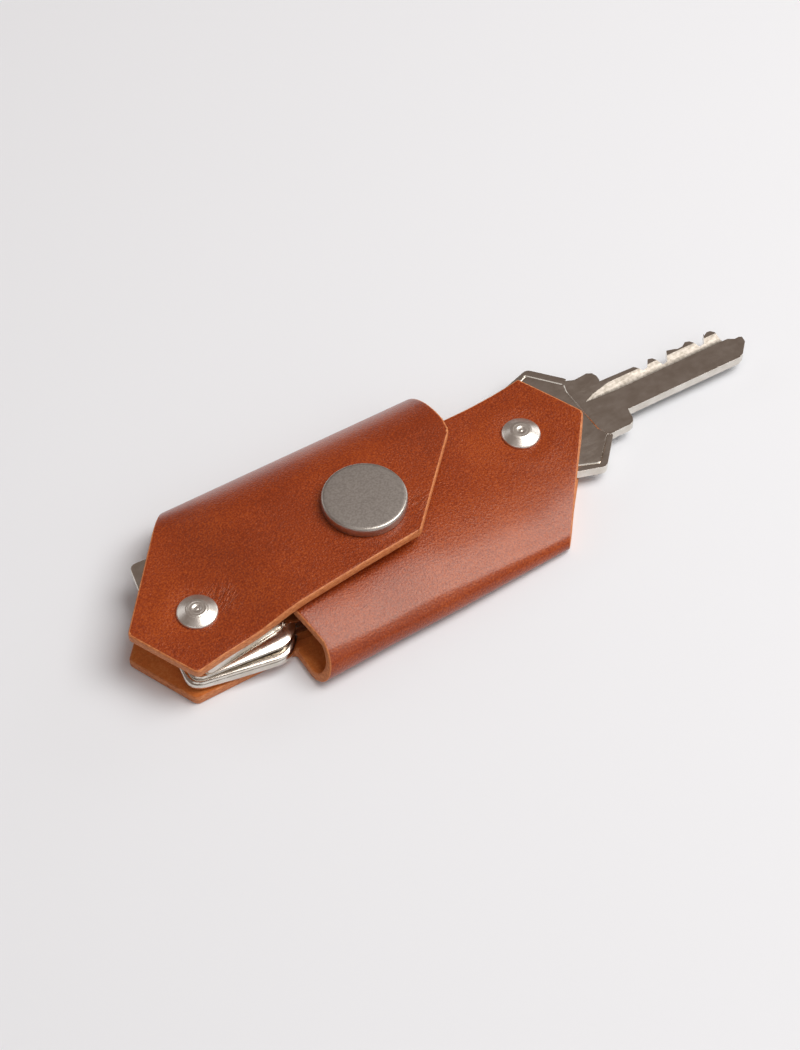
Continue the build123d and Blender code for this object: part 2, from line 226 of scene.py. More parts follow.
def spread(i, left, inner_left, inner_right, right):
    """x of column i between the row's four marks."""
    if i <= COL_A:
        return lerp(left, inner_left, i / COL_A)
    if i <= COL_B:
        return lerp(inner_left, inner_right, (i - COL_A) / (COL_B - COL_A))
    return lerp(inner_right, right, (i - COL_B) / (COL_N - COL_B))


SEAM = radians(-12)            # where the upper piece of the hide meets the rest, behind the back fold


def steps(a, b, n):
    """Values from a to b in n even steps."""
    return [a + (b - a) * k / n for k in range(n + 1)]


FRONT_ANGLES = steps(pi / 2 - FRONT_TILT, -pi / 2, 20)
LOW_ANGLES = steps(-pi / 2, SEAM - radians(2), 9) + [SEAM]
HIGH_ANGLES = [SEAM] + steps(SEAM + radians(2), BACK_TURN, 6) + steps(BACK_TURN, pi / 2, 12)[1:]
FLAP_ROWS = 26
LOWER_FLAP_ROWS = 32
BASE_FRONT = steps(FRONT_AXIS_Y, -INNER_Y, 4)
BASE_MIDDLE = steps(-INNER_Y, -TIP_Y, 12) + steps(TIP_Y, INNER_Y, 12)   # open side to open side
BASE_BACK_ROWS = 4

RING_RISE, RING_R, RING_WIDTH = 0.22 * MM, 6.5 * MM, 2.2 * MM     # hide standing proud round a head
LIFT_RISE, LIFT_X, LIFT_WIDTH = 0.9 * MM, -35.5 * MM, 6.0 * MM    # free edge pushed up by the keys
LIFT_START, LIFT_RUN = -4 * MM, 9 * MM


def bell(distance, width):
    """1 at no distance, and next to nothing at twice the width."""
    return exp(-(distance / width) ** 2)


def press(x, y, at):
    """The hide is squeezed under a head and stands a little proud in a ring round it."""
    return RING_RISE * bell(hypot(x - at.x, y - at.y) - RING_R, RING_WIDTH)


def upper_surface(x, y):
    """Grain side of the upper flap."""
    lift = LIFT_RISE * ease((LIFT_START - y) / LIFT_RUN) * bell(x - LIFT_X, LIFT_WIDTH)
    return upper_z(x) + lift + press(x, y, LEFT_POST)


def lower_surface(x, y):
    """Grain side of the lower flap."""
    slope = clamp01((FRONT_START - y) / (FRONT_START - FRONT_AXIS_Y)) ** 2
    return lower_z(x) - FRONT_DROP * slope + press(x, y, RIGHT_POST)


def lower_flap_point(i, k):
    """Row k runs from the free back edge (0) to the front fold."""
    k_left, k_right, last = 17, 14, LOWER_FLAP_ROWS                # rows of the outline's corners
    x_fold = -CUT_X + FRONT_LEAN * front_top(-CUT_X)
    y_left = along([(0, LOWER_CORNER.y), (k_left, -FLAP_SHOULDER.y), (last, FRONT_AXIS_Y)], k)
    x_left = along([(0, LOWER_CORNER.x), (k_left, -FLAP_SHOULDER.x), (last, x_fold)], k)
    y_right = along([(0, LOWER_NOSE.y), (k_right, TIP_Y), (last, FRONT_AXIS_Y)], k)
    x_right = along([(0, LOWER_NOSE.x), (k_right, TIP_X)], k) if k < k_right else right_end(y_right)
    x = spread(i, x_left, x_left, CUT_X, x_right)
    y = lerp(y_left, y_right, (x - x_left) / (x_right - x_left))
    return x, y, lower_surface(x, y)


def front_fold_point(i, angle):
    """The front fold, whose open left end leans."""
    z_end = section(-CUT_X, angle, -1)[1]
    x_left = -CUT_X + FRONT_LEAN * z_end
    x = spread(i, x_left, x_left, CUT_X, end_on_fold(angle, -1))
    y, z = section(x, angle, -1)
    return x, y, z


def base_end(y):
    """Where the row at y meets the right end of the base: from nose to tip, then along the slant."""
    if y >= TIP_Y:
        return BASE_TIP.lerp(BASE_NOSE, min(1.0, (y - TIP_Y) / (INNER_Y - TIP_Y)))
    if y <= -INNER_Y:
        return Vector((right_end(y), y))
    inner = Vector((right_end(-INNER_Y), -INNER_Y))
    return BASE_TIP.lerp(inner, (TIP_Y - y) / (TIP_Y + INNER_Y))


def base_point(i, y):
    """The base; its rows turn to meet the slanted ends."""
    left, right = -base_end(-y), base_end(y)
    x = spread(i, left.x, -CUT_X, CUT_X, right.x)
    if i < COL_A:
        return x, lerp(left.y, y, i / COL_A), 0.0
    if i > COL_B:
        return x, lerp(y, right.y, (i - COL_B) / (COL_N - COL_B)), 0.0
    return x, y, 0.0


def base_back_point(i, k):
    """Rows of the base between the open side edge and the back fold."""
    x = spread(i, end_on_fold(-pi / 2, 1), -CUT_X, CUT_X, CUT_X)   # where this column meets the fold
    y = lerp(INNER_Y, back_axis(x), k / BASE_BACK_ROWS)
    return spread(i, left_end(y), -CUT_X, CUT_X, CUT_X), y, 0.0


def back_fold_point(i, angle):
    """The back fold, slanted at its left end and square at its right."""
    x = spread(i, end_on_fold(angle, 1), -CUT_X, CUT_X, CUT_X)
    y, z = section(x, angle, 1)
    return x, y, z


def upper_flap_point(i, k):
    """Row k runs from the back fold (0) to the free front edge."""
    k_left, k_right, last = 14, 4, FLAP_ROWS
    x_join = end_on_fold(pi / 2, 1)
    y_left = along([(0, join_y(x_join)), (k_left, -TIP_Y), (last, -NOSE.y)], k)
    y_right = along([(0, join_y(CUT_X)), (k_right, FLAP_SHOULDER.y), (last, FLAP_CORNER.y)], k)
    x_left = left_end(y_left)
    x_right = along([(0, CUT_X), (k_right, FLAP_SHOULDER.x), (last, FLAP_CORNER.x)], k)
    x = spread(i, x_left, -CUT_X, x_right, x_right)
    t = (x - x_left) / (x_right - x_left)
    bow = join_y(lerp(x_join, CUT_X, t)) - lerp(join_y(x_join), join_y(CUT_X), t)
    y = lerp(y_left, y_right, t) + bow * (1 - ease(k / k_left))
    return x, y, upper_surface(x, y)


# ------------------------------------------------------------------ modelling helpers
def deselect():
    """Each operator acts on all that is selected, so a new piece starts with nothing selected."""
    for o in list(bpy.context.selected_objects):
        o.select_set(False)


def take(obj):
    """Makes obj the only selected and active object."""
    deselect()
    obj.select_set(True)
    bpy.context.view_layer.objects.active = obj


def apply(obj, kind, **settings):
    """Adds a modifier with these settings and applies it."""
    take(obj)
    modifier = obj.modifiers.new(kind.title(), kind)
    for name, value in settings.items():
        setattr(modifier, name, value)
    bpy.ops.object.modifier_apply(modifier=modifier.name)


def sheet_of_hide(name, rows, place, gone):
    """A grid with one row per entry of rows, cut to the columns in use and laid where place says.

    gone(i, row) says which faces fall outside the hide.
    """
    deselect()
    bpy.ops.mesh.primitive_grid_add(x_subdivisions=COL_N, y_subdivisions=len(rows) - 1, size=1)
    obj = bpy.context.object
    obj.name = name
    mesh = obj.data
    n_rows = len(rows) - 1
    spot = {v.index: (round((v.co.x + 0.5) * COL_N), round((v.co.y + 0.5) * n_rows))
            for v in mesh.vertices}
    bpy.ops.object.mode_set(mode="EDIT")
    bpy.ops.mesh.select_mode(type="FACE")
    bpy.ops.mesh.select_all(action="DESELECT")
    bpy.ops.object.mode_set(mode="OBJECT")
    for face in mesh.polygons:
        i = min(spot[v][0] for v in face.vertices)
        k = min(spot[v][1] for v in face.vertices)
        face.select = gone(i, rows[k])
    for v in mesh.vertices:
        v.co = Vector(place(*spot[v.index]))
    bpy.ops.object.mode_set(mode="EDIT")
    bpy.ops.mesh.delete(type="FACE")
    bpy.ops.mesh.select_all(action="SELECT")
    bpy.ops.mesh.flip_normals()
    bpy.ops.object.mode_set(mode="OBJECT")
    return obj


FLESH, CUT_EDGE = 1, 2                    # material slots of the hide, whose grain side is slot 0
CORNER_R, CORNER_TURN = 0.75 * MM, radians(22)        # rounding of the outline, where it turns this much
EDGE_EASE, EDGE_SHARP = 0.3 * MM, radians(50)         # easing of the cut edges
POST_HOLE_R = 2.6 * MM


def round_corners(obj):
    """Rounds the corners of the cut outline: the upright edges where the cut turns."""
    mesh = obj.data
    sides = {}
    for face in mesh.polygons:
        if face.material_index == CUT_EDGE:
            for key in face.edge_keys:
                sides.setdefault(key, []).append(face.normal.copy())
    take(obj)
    bpy.ops.object.mode_set(mode="EDIT")
    bpy.ops.mesh.select_mode(type="EDGE")
    bpy.ops.mesh.select_all(action="DESELECT")
    bpy.ops.object.mode_set(mode="OBJECT")
    for edge in mesh.edges:
        normals = sides.get(edge.key, [])
        flat = abs(mesh.vertices[edge.vertices[0]].co.y) < INNER_Y + 0.3 * MM
        edge.select = flat and len(normals) == 2 and normals[0].angle(normals[1]) > CORNER_TURN
    bpy.ops.object.mode_set(mode="EDIT")
    bpy.ops.mesh.bevel(offset=CORNER_R, segments=4, affect="EDGES", clamp_overlap=False)
    bpy.ops.object.mode_set(mode="OBJECT")


def on_seam(co):
    """True for points on the hidden seam behind the back fold."""
    dy, dz = co.y - back_axis(co.x), co.z - BACK_LOW_R
    r, near = hypot(dy, dz), 0.3 * MM
    in_wall = dy > 0 and BACK_LOW_R - HIDE - near < r < BACK_LOW_R + near
    return in_wall and abs(dz - r * sin(SEAM)) < 0.25 * MM


def thicken(obj):
    """Gives the hide its thickness, then eases every cut edge except at the hidden seam."""
    apply(obj, "SOLIDIFY", thickness=HIDE, offset=-1, use_even_offset=True, use_rim=True,
          material_offset=FLESH, material_offset_rim=CUT_EDGE)
    round_corners(obj)
    bpy.ops.object.mode_set(mode="EDIT")
    bpy.ops.mesh.select_mode(type="EDGE")
    bpy.ops.mesh.select_all(action="DESELECT")
    bpy.ops.mesh.edges_select_sharp(sharpness=EDGE_SHARP)
    bpy.ops.object.mode_set(mode="OBJECT")
    mesh = obj.data
    inside_fold = {key for face in mesh.polygons for key in face.edge_keys
                   if face.material_index == FLESH and face.center.y < FRONT_AXIS_Y + MM
                   and face.center.x > 0}                 # too tight a bend for the bevel
    for edge in mesh.edges:
        if edge.key in inside_fold or all(on_seam(mesh.vertices[v].co) for v in edge.vertices):
            edge.select = False
    bpy.ops.object.mode_set(mode="EDIT")
    bpy.ops.mesh.bevel(offset=EDGE_EASE, segments=3, affect="EDGES", clamp_overlap=False, material=CUT_EDGE)
    bpy.ops.object.mode_set(mode="OBJECT")
    bpy.ops.object.shade_smooth_by_angle(angle=radians(40))


def drill(obj, at, radius):
    """Punches a round hole straight through."""
    deselect()
    bpy.ops.mesh.primitive_cylinder_add(vertices=48, radius=radius, depth=40 * MM,
                                        location=(at.x, at.y, 10 * MM))
    cutter = bpy.context.object
    apply(obj, "BOOLEAN", object=cutter, operation="DIFFERENCE", solver="EXACT")
    bpy.data.objects.remove(cutter, do_unlink=True)


# ------------------------------------------------------------------ materials
def linear(hex_code):
    """sRGB hex to linear RGBA."""
    out = []
    for i in (0, 2, 4):
        c = int(hex_code[i:i + 2], 16) / 255
        out.append(c / 12.92 if c <= 0.04045 else ((c + 0.055) / 1.055) ** 2.4)
    return (*out, 1.0)


def new_material(name):
    """A material, its node tree and its shader."""
    material = bpy.data.materials.new(name)
    material.use_nodes = True
    return material, material.node_tree, material.node_tree.nodes["Principled BSDF"]


def add(tree, kind, links=(), sockets=(), stops=(), **settings):
    """Adds a node: settings are its own, sockets fill its inputs, links join (input, from node, output).

    stops are the (position, sRGB hex) marks of a colour ramp.
    """
    node = tree.nodes.new(kind)
    for name, value in settings.items():
        setattr(node, name, value)
    for name, value in dict(sockets).items():
        node.inputs[name].default_value = value
    for name, source, output in links:
        tree.links.new(source.outputs[output], node.inputs[name])
    for n, (position, colour) in enumerate(stops):
        if n == len(node.color_ramp.elements):
            node.color_ramp.elements.new(1.0)
        node.color_ramp.elements[n].position = position
        node.color_ramp.elements[n].color = linear(colour)
    return node


def scale_for(size_mm):
    """Noise or Voronoi scale that gives features of this size on Object coordinates in metres."""
    return 1 / (size_mm * MM)


def grain_leather():
    """Vegetable-tanned shoulder, dyed cognac and waxed: an even warm brown, fine pebbled grain, soft sheen."""
    material, tree, skin = new_material("cognac vegetable-tanned grain leather")
    place = add(tree, "ShaderNodeTexCoord")
    cloud = add(tree, "ShaderNodeTexNoise", [("Vector", place, "Object")],
                {"Scale": scale_for(16), "Detail": 2})
    mottle = add(tree, "ShaderNodeTexNoise", [("Vector", place, "Object")],
                 {"Scale": scale_for(0.34), "Detail": 2, "Roughness": 0.5})
    pebble = add(tree, "ShaderNodeTexVoronoi", [("Vector", place, "Object")],
                 {"Scale": scale_for(0.45), "Smoothness": 0.5}, feature="SMOOTH_F1")
    fine = add(tree, "ShaderNodeTexNoise", [("Vector", place, "Object")],
               {"Scale": scale_for(0.26), "Detail": 2, "Roughness": 0.5})
    blend = add(tree, "ShaderNodeMix", [("A", cloud, "Fac"), ("B", mottle, "Fac")], {"Factor": 0.7})
    colour = add(tree, "ShaderNodeValToRGB", [("Fac", blend, "Result")],
                 stops=[(0.36, "7A2B09"), (0.5, "90360D"), (0.64, "A84A15")])
    tree.links.new(colour.outputs["Color"], skin.inputs["Base Color"])
    rough = add(tree, "ShaderNodeMapRange", [("Value", mottle, "Fac")],
                {"From Min": 0.3, "From Max": 0.7, "To Min": 0.3, "To Max": 0.38})
    tree.links.new(rough.outputs["Result"], skin.inputs["Roughness"])
    pebbled = add(tree, "ShaderNodeBump", [("Height", pebble, "Distance")],
                  {"Strength": 0.65, "Distance": 0.09 * MM})
    pored = add(tree, "ShaderNodeBump", [("Height", fine, "Fac"), ("Normal", pebbled, "Normal")],
                {"Strength": 0.9, "Distance": 0.1 * MM})
    creased = creases(tree, place, pored)
    tree.links.new(creased.outputs["Normal"], skin.inputs["Normal"])
    skin.inputs["IOR"].default_value = 1.5
    skin.inputs["Specular Tint"].default_value = linear("FFDDC8")
    skin.inputs["Coat Weight"].default_value = 0.42
    skin.inputs["Coat Roughness"].default_value = 0.22
    return material


# where the hide wrinkles, beside a post and the snap: middle (mm), direction (degrees), reach (mm)
CREASES = [((-32.0, -2.6), 28, 5.0), ((8.9, -5.8), 22, 4.6)]


def creases(tree, place, under):
    """Fine wrinkles: a noise drawn out along the fold of each wrinkled patch, faded out round it."""
    normal = under
    for (x, y), turn, reach in CREASES:
        near = add(tree, "ShaderNodeVectorMath", [(0, place, "Object")],
                   {1: (x * MM, y * MM, upper_z(x * MM))}, operation="DISTANCE")
        fade = add(tree, "ShaderNodeMapRange", [("Value", near, "Value")],
                   {"From Min": 0.3 * reach * MM, "From Max": reach * MM, "To Min": 1.0, "To Max": 0.0})
        laid = add(tree, "ShaderNodeMapping", [("Vector", place, "Object")],
                   {"Rotation": (0, 0, radians(turn)), "Scale": (8, 1, 1)},
                   vector_type="TEXTURE")
        lines = add(tree, "ShaderNodeTexNoise", [("Vector", laid, "Vector")],
                    {"Scale": scale_for(0.9), "Detail": 2, "Distortion": 0.3})
        ridge = add(tree, "ShaderNodeValToRGB", [("Fac", lines, "Fac")],
                    stops=[(0.38, "FFFFFF"), (0.47, "000000"), (0.56, "FFFFFF")])
        normal = add(tree, "ShaderNodeBump",
                     [("Height", ridge, "Color"), ("Strength", fade, "Result"), ("Normal", normal, "Normal")],
                     {"Distance": 0.1 * MM})
    return normal


def flesh_leather():
    """Flesh side of the hide: matt, tan, loose short fibres."""
    material, tree, skin = new_material("flesh side of the tanned hide")
    place = add(tree, "ShaderNodeTexCoord")
    fibre = add(tree, "ShaderNodeTexNoise", [("Vector", place, "Object")],
                {"Scale": scale_for(0.5), "Detail": 5, "Roughness": 0.65, "Distortion": 0.6})
    cloud = add(tree, "ShaderNodeTexNoise", [("Vector", place, "Object")],
                {"Scale": scale_for(7), "Detail": 2})
    blend = add(tree, "ShaderNodeMix", [("A", cloud, "Fac"), ("B", fibre, "Fac")], {"Factor": 0.6})
    colour = add(tree, "ShaderNodeValToRGB", [("Fac", blend, "Result")],
                 stops=[(0.32, "B05A24"), (0.5, "CC7230"), (0.68, "D98C4C")])
    tree.links.new(colour.outputs["Color"], skin.inputs["Base Color"])
    bump = add(tree, "ShaderNodeBump", [("Height", fibre, "Fac")], {"Strength": 0.5, "Distance": 0.15 * MM})
    tree.links.new(bump.outputs["Normal"], skin.inputs["Normal"])
    skin.inputs["Roughness"].default_value = 0.85
    return material


def cut_edge_leather():
    """Knife-cut edge, sanded and waxed: lighter, with fine fibre lines along the cut."""
    material, tree, skin = new_material("sanded cut edge of the hide")
    place = add(tree, "ShaderNodeTexCoord")
    laid = add(tree, "ShaderNodeMapping", [("Vector", place, "Object")], {"Scale": (1, 1, 3)})
    fibre = add(tree, "ShaderNodeTexNoise", [("Vector", laid, "Vector")],
                {"Scale": scale_for(0.8), "Detail": 5, "Roughness": 0.65})
    colour = add(tree, "ShaderNodeValToRGB", [("Fac", fibre, "Fac")],
                 stops=[(0.3, "A2582E"), (0.5, "C67642"), (0.7, "DA945C")])
    tree.links.new(colour.outputs["Color"], skin.inputs["Base Color"])
    bump = add(tree, "ShaderNodeBump", [("Height", fibre, "Fac")], {"Strength": 0.35, "Distance": 0.1 * MM})
    tree.links.new(bump.outputs["Normal"], skin.inputs["Normal"])
    skin.inputs["Roughness"].default_value = 0.55
    return material


def metal(name, colours, rough, drift_mm, grain_mm, bump_mm, strength=0.5, stretch=(1, 1, 1)):
    """A metal with slight colour drift, uneven polish and fine surface marks."""
    material, tree, skin = new_material(name)
    place = add(tree, "ShaderNodeTexCoord")
    drift = add(tree, "ShaderNodeTexNoise", [("Vector", place, "Object")],
                {"Scale": scale_for(drift_mm), "Detail": 3})
    laid = add(tree, "ShaderNodeMapping", [("Vector", place, "Object")], {"Scale": stretch})
    marks = add(tree, "ShaderNodeTexNoise", [("Vector", laid, "Vector")],
                {"Scale": scale_for(grain_mm), "Detail": 4, "Roughness": 0.6})
    colour = add(tree, "ShaderNodeValToRGB", [("Fac", drift, "Fac")],
                 stops=[(0.35, colours[0]), (0.65, colours[1])])
    tree.links.new(colour.outputs["Color"], skin.inputs["Base Color"])
    polish = add(tree, "ShaderNodeMapRange", [("Value", marks, "Fac")],
                 {"From Min": 0.3, "From Max": 0.7, "To Min": rough[0], "To Max": rough[1]})
    tree.links.new(polish.outputs["Result"], skin.inputs["Roughness"])
    bump = add(tree, "ShaderNodeBump", [("Height", marks, "Fac")],
               {"Strength": strength, "Distance": bump_mm * MM})
    tree.links.new(bump.outputs["Normal"], skin.inputs["Normal"])
    skin.inputs["Metallic"].default_value = 1.0
    return material


# ------------------------------------------------------------------ hide
def hide_body():
    """Lower flap, front fold, base and the lower bend of the back fold: everything that stays put."""
    rows = ([("lower", k) for k in range(LOWER_FLAP_ROWS)] + [("front", a) for a in FRONT_ANGLES]
            + [("base", y) for y in BASE_FRONT[1:] + BASE_MIDDLE[1:]]
            + [("base back", k) for k in range(1, BASE_BACK_ROWS)] + [("back", a) for a in LOW_ANGLES])
    makers = {"lower": lower_flap_point, "front": front_fold_point, "base": base_point,
              "base back": base_back_point, "back": back_fold_point}

    def place(i, k):
        kind, value = rows[k]
        return makers[kind](i, value)

    def gone(i, row):
        kind, value = row
        near = 0.01 * MM
        if kind in ("lower", "front") or (kind == "base" and value < -INNER_Y - near):
            return i < COL_A
        if kind in ("base back", "back") or (kind == "base" and value > INNER_Y - near):
            return i >= COL_B
        return False

    return sheet_of_hide("hide_body", rows, place, gone)


def hide_flap():
    """The rest of the back fold, from the seam up, and the upper flap."""
    rows = [("back", a) for a in HIGH_ANGLES] + [("upper", k) for k in range(1, FLAP_ROWS + 1)]
    makers = {"back": back_fold_point, "upper": upper_flap_point}

    def place(i, k):
        kind, value = rows[k]
        return makers[kind](i, value)

    return sheet_of_hide("hide_flap", rows, place, lambda i, row: i >= COL_B)


body = hide_body()
flap = hide_flap()
HIDE_MATERIALS = [grain_leather(), flesh_leather(), cut_edge_leather()]
for piece in (body, flap):
    for material in HIDE_MATERIALS:
        piece.data.materials.append(material)
    thicken(piece)
drill(flap, LEFT_POST, POST_HOLE_R)
drill(body, LEFT_POST, POST_HOLE_R)
drill(body, RIGHT_POST, POST_HOLE_R)

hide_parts("base_panel", "front_fold", "lower_flap", "back_fold")
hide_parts("upper_flap", "snap_flap")
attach(body, "wallet")
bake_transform(flap)


# ------------------------------------------------------------------ metals
# glass beads leave an even, faintly sparkling matt grey; the 0.1 mm pits are drawn at 0.3 mm so that they show
blasted = metal("bead-blasted nickel plate", ("9A948F", "ADA7A2"), (0.46, 0.54), 0.4, 0.3, 0.02)
# buffed smooth before it is plated: a soft bright line round the cap
polished = metal("polished nickel plate", ("BEB9B2", "CAC5BE"), (0.3, 0.36), 4, 0.8, 0.001)
# plated as it left the press tool: bright, with a faintly dented skin
plated = metal("nickel-plated pressed brass", ("C4BDB0", "CFC8BB"), (0.2, 0.3), 3, 0.6, 0.01)
# fine turning marks under bright plating: silvery, between satin and mirror
turned = metal("turned and nickel-plated brass", ("E6E1DA", "F0ECE6"), (0.3, 0.37), 2, 0.5, 0.002)
# rubbed bright in a pocket: a warm mirror, with faint scratches drawn out along the key
key_metal = metal("nickel silver, worn by handling", ("D2CBC1", "E2DDD5"), (0.15, 0.23), 2.5, 0.5, 0.004,
                  strength=0.4, stretch=(0.25, 1, 1))
# marks of the cutter along the groove: darker and duller than the worn faces
milled = metal("milled nickel silver, with cutter marks", ("7C766E", "97918A"), (0.38, 0.5), 0.7, 0.25, 0.002,
               stretch=(0.08, 1, 1))
# a thin zinc coat: bluish grey and satin
steel = metal("zinc-plated steel", ("B9BABC", "C7C8CA"), (0.3, 0.4), 3, 0.5, 0.01)


# ------------------------------------------------------------------ turned and pressed hardware
def lathe(name, at, outline, turns=96):
    """A turned piece: its half outline, (radius, height) in mm above at, spun about the upright axis."""
    deselect()
    bpy.ops.mesh.primitive_grid_add(x_subdivisions=len(outline) - 1, y_subdivisions=1, size=1)
    obj = bpy.context.object
    obj.name = name
    chain = sorted((v for v in obj.data.vertices if v.co.y < 0), key=lambda v: v.co.x)
    spare = [v.index for v in obj.data.vertices if v.co.y > 0]
    for v, (r, z) in zip(chain, outline):
        v.co = at + Vector((r, 0, z)) * MM
    bpy.ops.object.mode_set(mode="EDIT")
    bpy.ops.mesh.select_mode(type="VERT")
    bpy.ops.mesh.select_all(action="DESELECT")
    bpy.ops.object.mode_set(mode="OBJECT")
    for index in spare:
        obj.data.vertices[index].select = True
    bpy.ops.object.mode_set(mode="EDIT")
    bpy.ops.mesh.delete(type="VERT")
    bpy.ops.mesh.select_all(action="SELECT")
    bpy.ops.mesh.spin(steps=turns, angle=2 * pi, center=at, axis=(0, 0, 1))
    bpy.ops.mesh.select_all(action="SELECT")
    bpy.ops.mesh.remove_doubles(threshold=1e-6)
    bpy.ops.mesh.normals_make_consistent(inside=False)
    bpy.ops.object.mode_set(mode="OBJECT")
    bpy.ops.object.shade_smooth_by_angle(angle=radians(32))
    return obj


def seat_of(node, cover):
    """Middle of a node at the height where it sits on the hide: the underside of its head."""
    low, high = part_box(node)
    return Vector(((low.x + high.x) / 2, (low.y + high.y) / 2, high.z - cover * MM))


HEAD_RISE, CAP_RISE = 1.5, 2.2                    # above the hide, in mm
POST_R, POST_BORE_R = 2.5, 1.5                    # barrel, in mm
CAP_FLAT_R = 7.58                                 # blasted top of the cap; outside it the cap is polished


def post_outline(depth, cut):
    """Turned head: pip and dimple, raised rings, a cone and a rolled rim; then the hollow barrel."""
    head = [(0, 1.36), (0.24, 1.35), (0.36, 1.3), (0.56, 1.3), (0.74, 1.4), (0.92, 1.45), (1.12, 1.46),
            (1.3, 1.455 - 0.025 * cut), (1.44, 1.455 - 0.025 * cut), (1.56, 1.46), (1.74, 1.45),
            (1.84, 1.43 - 0.05 * cut), (1.94, 1.41 - 0.05 * cut), (2.06, 1.37), (2.2, 1.3)]
    cone = [(2.2 + 1.3 * t, 1.3 - 0.62 * t) for t in (0.2, 0.4, 0.6, 0.8, 1.0)]
    rim = [(3.64, 0.6), (3.74, 0.49), (3.8, 0.34), (3.79, 0.18), (3.72, 0.05), (3.6, 0.0)]
    barrel = [(POST_R + 0.02, 0.0), (POST_R, -0.05), (POST_R, 0.15 - depth), (POST_R - 0.15, -depth),
              (POST_BORE_R + 0.15, -depth), (POST_BORE_R, 0.15 - depth), (POST_BORE_R, -0.6), (0, -0.6)]
    return head + cone + rim + barrel


def post(side, cut):
    """A post's barrel with its head; cut is how deep the rings of the head are turned."""
    node = side + "_post_barrel"
    seat = seat_of(node, HEAD_RISE)
    depth = (seat.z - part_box(node)[0].z) / MM
    obj = lathe(side + "_post_head", seat, post_outline(depth, cut))
    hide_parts(node)
    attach(obj, "wallet")
    return obj


def cap():
    """Flat blasted top, a polished bevel and side round it, and a hollow rivet through the hide."""
    seat = seat_of("snap_cap", CAP_RISE)
    depth = (seat.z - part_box("snap_cap")[0].z) / MM
    top = [(0, 2.19), (2.5, 2.2), (5.0, 2.2), (7.2, 2.19), (CAP_FLAT_R, 2.18)]
    bevel = [(7.72, 2.13), (7.84, 2.03), (7.92, 1.9), (7.97, 1.74)]
    side = [(8.0, 1.35), (8.0, 0.3), (7.94, 0.1), (7.8, 0.0), (7.3, 0.0), (7.2, 0.12), (2.2, 0.12)]
    rivet = [(2.0, 0.0), (2.0, -depth), (1.5, -depth), (1.5, 0.5), (0, 0.5)]
    obj = lathe("snap_cap_button", seat, top + bevel + side + rivet, turns=128)
    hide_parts("snap_cap")
    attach(obj, "lifting_flap")
    return obj, seat


left_head = post("left", 1.0)
right_head = post("right", 0.35)
button, cap_seat = cap()


# ------------------------------------------------------------------ keys
def rounded(points, radius, parts=5):
    """Outline with its corners rounded: each corner is cut back and bridged by a short curve."""
    out = []
    for before, corner, after in zip(points[-1:] + points[:-1], points, points[1:] + points[:1]):
        corner = Vector(corner)
        towards, away = Vector(before) - corner, Vector(after) - corner
        reach = min(radius, towards.length * 0.45, away.length * 0.45)
        start, end = corner + towards.normalized() * reach, corner + away.normalized() * reach
        for k in range(parts + 1):
            t = k / parts
            out.append(tuple(start * (1 - t) ** 2 + corner * 2 * t * (1 - t) + end * t * t))
    return out


def prism(name, levels):
    """Solid through flat outlines of one length each: levels are (outline, height) in mm, from below."""
    deselect()
    first, z = levels[0]
    bpy.ops.mesh.primitive_circle_add(vertices=len(first), fill_type="NGON")
    obj = bpy.context.object
    obj.name = name
    for v, (x, y) in zip(obj.data.vertices, first):
        v.co = (x, y, z)
    was = first
    for outline, z in levels[1:]:
        bpy.ops.object.mode_set(mode="EDIT")
        bpy.ops.mesh.extrude_region_move(TRANSFORM_OT_translate={"value": (0, 0, 0)})
        bpy.ops.object.mode_set(mode="OBJECT")
        for v in obj.data.vertices:
            if v.select:
                gaps = [hypot(x - v.co.x, y - v.co.y) for x, y in was]
                v.co = (*outline[gaps.index(min(gaps))], z)
        was = outline
    bpy.ops.object.mode_set(mode="EDIT")
    bpy.ops.mesh.select_all(action="SELECT")
    bpy.ops.mesh.normals_make_consistent(inside=False)
    bpy.ops.object.mode_set(mode="OBJECT")
    return obj


def soften(obj, width, segments=2, angle=28):
    """Eases the edges sharper than angle."""
    apply(obj, "BEVEL", width=width, segments=segments, limit_method="ANGLE", angle_limit=radians(angle))


def join_solid(obj, other, operation):
    """Joins or cuts obj with other, which is used up."""
    apply(obj, "BOOLEAN", object=other, operation=operation, solver="EXACT")
    bpy.data.objects.remove(other, do_unlink=True)


